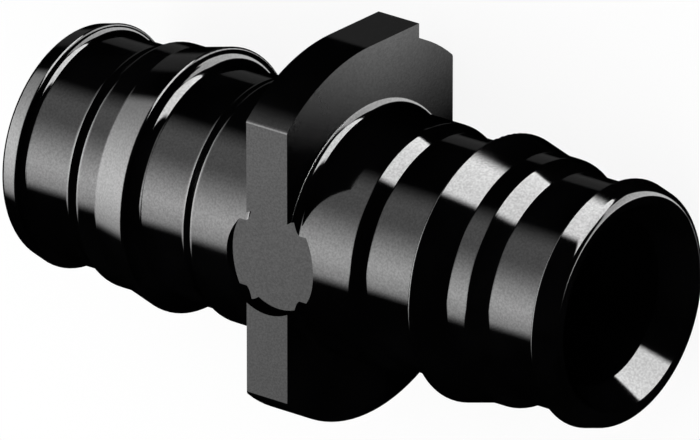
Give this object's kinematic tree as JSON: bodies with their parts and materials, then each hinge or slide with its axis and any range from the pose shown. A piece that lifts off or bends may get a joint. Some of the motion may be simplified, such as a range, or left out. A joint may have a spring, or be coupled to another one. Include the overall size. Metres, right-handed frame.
{
  "type": "pex coupling",
  "caption": "Straight one-piece pipe coupling with a barbed spigot at each end, a stop flange with spanner flats in the middle, and a plain bore right through.",
  "frame": {"origin": "middle of the through bore, halfway between the two end faces", "axes": "+X along the bore, +Y towards the side of the flange that has the square shoulder, +Z square to the upper spanner flat, up from the surface that the coupling lies on"},
  "size_m": [0.0532, 0.0298, 0.0208],
  "materials": {
    "black_plastic": "glossy black moulded plastic, smooth all over, with sharp reflections"
  },
  "bodies": {
    "root": {"coupling_body": "black_plastic"}
  },
  "joints": []
}
